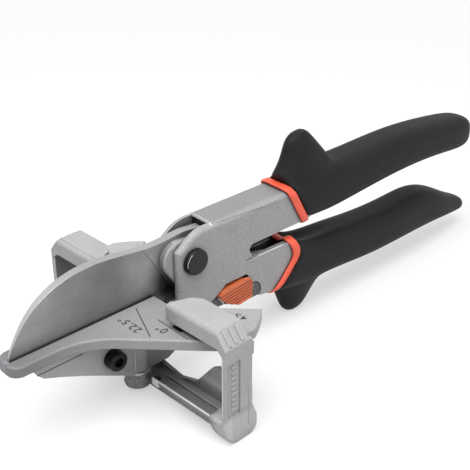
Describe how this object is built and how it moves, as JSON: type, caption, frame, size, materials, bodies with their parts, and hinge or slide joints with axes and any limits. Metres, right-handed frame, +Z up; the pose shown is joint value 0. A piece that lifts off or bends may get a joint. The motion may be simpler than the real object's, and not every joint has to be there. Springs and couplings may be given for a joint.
{
  "type": "mitre shears",
  "caption": "Hand mitre shears: curved blade closing on a small anvil table, swivelling mitre fence, channel handles with dipped grips, guard horns and a latch.",
  "frame": {"origin": "on the bench, under the upright axis that the mitre fence turns on, in the blade's plane", "axes": "+X along the table and handles towards the grips, +Z up from the bench, Y across the blade; the near side with the bolt head is -Y"},
  "size_m": [0.2733, 0.1045, 0.0874],
  "materials": {
    "blade_steel": "satin ground steel",
    "bolt_black": "blackened steel, satin",
    "plain_steel": "plain satin steel",
    "handle_grey": "satin grey paint over pressed steel",
    "casting_grey": "fine blasted casting",
    "grip_black": "matte dipped grip",
    "band_red": "satin coloured band",
    "latch_orange": "satin moulded plastic",
    "strip_black": "satin black plastic strip"
  },
  "bodies": {
    "root": {"upper_handle": "handle_grey", "upper_grip_band": "band_red", "upper_grip": "grip_black", "pivot_bolt": "bolt_black", "pivot_nut": "bolt_black", "near_pivot_washer": "plain_steel", "far_pivot_washer": "plain_steel", "anvil_table": "casting_grey", "anvil_strip": "strip_black", "table_carrier": "casting_grey", "clamp_screw": "bolt_black", "clamp_nut": "plain_steel", "upper_clasp_rivet": "handle_grey", "lower_clasp_rivet": "handle_grey", "fence_screw": "bolt_black", "fence_washer": "plain_steel"},
    "lower_assembly": {"lower_handle": "handle_grey", "blade": "blade_steel", "pivot_bush": "plain_steel", "front_blade_rivet": "plain_steel", "rear_blade_rivet": "plain_steel", "lower_grip_band": "band_red", "lower_grip": "grip_black", "latch_rivet": "plain_steel"},
    "latch": {"latch_lever": "plain_steel", "latch_cover": "latch_orange"},
    "fence": {"mitre_fence": "casting_grey"}
  },
  "joints": [
    {"name": "handle_pivot", "type": "hinge", "parent": "root", "child": "lower_assembly", "pos_m": [0.0248, 0, 0.0534], "axis": [0, 1, 0], "range_deg": [0, 20]},
    {"name": "latch_hinge", "type": "hinge", "parent": "lower_assembly", "child": "latch", "pos_m": [0.0563, -0.006, 0.0252], "axis": [0, -1, 0], "range_deg": [0, 18]},
    {"name": "fence_swivel", "type": "hinge", "parent": "root", "child": "fence", "pos_m": [0, 0, 0.01], "axis": [0, 0, 1], "range_deg": [-47.4, 42.6]}
  ]
}
